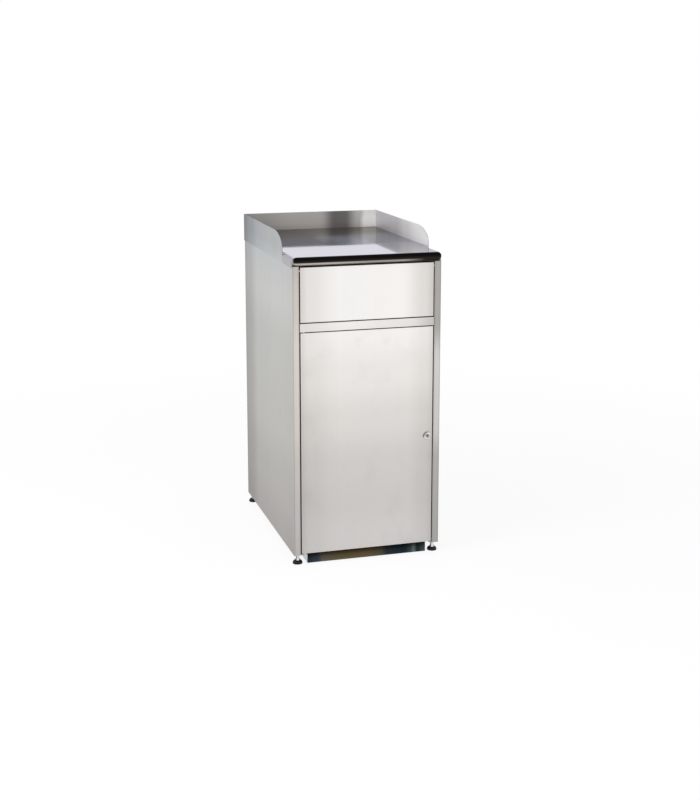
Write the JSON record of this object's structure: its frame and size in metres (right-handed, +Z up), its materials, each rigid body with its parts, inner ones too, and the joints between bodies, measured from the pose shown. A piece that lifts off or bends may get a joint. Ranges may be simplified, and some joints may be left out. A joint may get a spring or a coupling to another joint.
{
  "type": "tray return waste station",
  "caption": "Free-standing stainless cabinet with a railed tray deck, a push flap that swings inwards, a locking side-hung door, a removable waste container and adjustable feet.",
  "frame": {"origin": "centre of the footprint of the whole station, on the floor", "axes": "+Z up, -Y the front with the flap and door, +X to the right as seen from the front"},
  "size_m": [0.503, 0.7315, 1.083],
  "materials": {
    "satin_stainless": "fine vertical brushed, satin",
    "door_stainless": "fine brushed, pale satin",
    "polished_stainless": "polished, near mirror",
    "nickel_lock": "bright nickel",
    "zinc_steel": "bright zinc plated",
    "bin_steel": "plain mill finish",
    "black_rubber": "black, slightly glossy",
    "white_nylon": "natural white",
    "sealed_board": "sealed chipboard"
  },
  "bodies": {
    "root": {"left_side_panel": "satin_stainless", "right_side_panel": "satin_stainless", "back_panel": "satin_stainless", "back_panel_rivets": "zinc_steel", "mid_rail": "satin_stainless", "header_rail": "satin_stainless", "left_base_rail": "satin_stainless", "right_base_rail": "satin_stainless", "rear_base_rail": "satin_stainless", "foot_bracket_front_left": "zinc_steel", "foot_bracket_front_right": "zinc_steel", "foot_bracket_rear_left": "zinc_steel", "foot_bracket_rear_right": "zinc_steel", "foot_weld_nuts": "zinc_steel", "base_pan": "polished_stainless", "deck": "polished_stainless", "deck_board": "sealed_board", "gallery": "satin_stainless", "flap_pin_left": "zinc_steel", "flap_pin_right": "zinc_steel", "door_pin_top": "zinc_steel", "door_pin_bottom": "zinc_steel", "door_stop_top": "satin_stainless", "door_stop_bottom": "satin_stainless", "door_buffers": "black_rubber", "lock_strike": "zinc_steel", "chute_front_deflector": "satin_stainless", "chute_cheek_left": "satin_stainless", "chute_cheek_right": "satin_stainless", "chute_rear_baffle": "satin_stainless", "waste_bin": "bin_steel", "bag_retainer": "zinc_steel", "bin_handles": "zinc_steel"},
    "flap": {"flap_skin": "door_stainless", "flap_liner": "satin_stainless", "flap_bush_left": "white_nylon", "flap_bush_right": "white_nylon", "flap_buffers": "black_rubber"},
    "door": {"door_skin": "door_stainless", "door_liner": "satin_stainless", "door_stiffeners": "zinc_steel", "door_pivot_block_top": "white_nylon", "door_pivot_block_bottom": "white_nylon", "lock_barrel": "nickel_lock", "lock_nut": "zinc_steel"},
    "lock_core": {"lock_plug": "nickel_lock", "lock_cam": "zinc_steel", "lock_cam_screw": "zinc_steel"},
    "foot_front_left": {"foot_pad_front_left": "black_rubber", "foot_stem_front_left": "zinc_steel"},
    "foot_front_right": {"foot_pad_front_right": "black_rubber", "foot_stem_front_right": "zinc_steel"},
    "foot_rear_left": {"foot_pad_rear_left": "black_rubber", "foot_stem_rear_left": "zinc_steel"},
    "foot_rear_right": {"foot_pad_rear_right": "black_rubber", "foot_stem_rear_right": "zinc_steel"}
  },
  "joints": [
    {"name": "flap_swing", "type": "hinge", "parent": "root", "child": "flap", "pos_m": [0, -0.34775, 0.9758], "axis": [1, 0, 0], "range_deg": [0, 65]},
    {"name": "door_swing", "type": "hinge", "parent": "root", "child": "door", "pos_m": [-0.2124, -0.34775, 0.4], "axis": [0, 0, -1], "range_deg": [0, 110]},
    {"name": "lock_turn", "type": "hinge", "parent": "door", "child": "lock_core", "pos_m": [0.207, -0.35575, 0.4065], "axis": [0, -1, 0], "range_deg": [0, 90]},
    {"name": "foot_front_left_adjust", "type": "slide", "parent": "root", "child": "foot_front_left", "axis": [0, 0, -1], "range_m": [-0.002, 0.012]},
    {"name": "foot_front_right_adjust", "type": "slide", "parent": "root", "child": "foot_front_right", "axis": [0, 0, -1], "range_m": [-0.002, 0.012]},
    {"name": "foot_rear_left_adjust", "type": "slide", "parent": "root", "child": "foot_rear_left", "axis": [0, 0, -1], "range_m": [-0.002, 0.012]},
    {"name": "foot_rear_right_adjust", "type": "slide", "parent": "root", "child": "foot_rear_right", "axis": [0, 0, -1], "range_m": [-0.002, 0.012]}
  ]
}
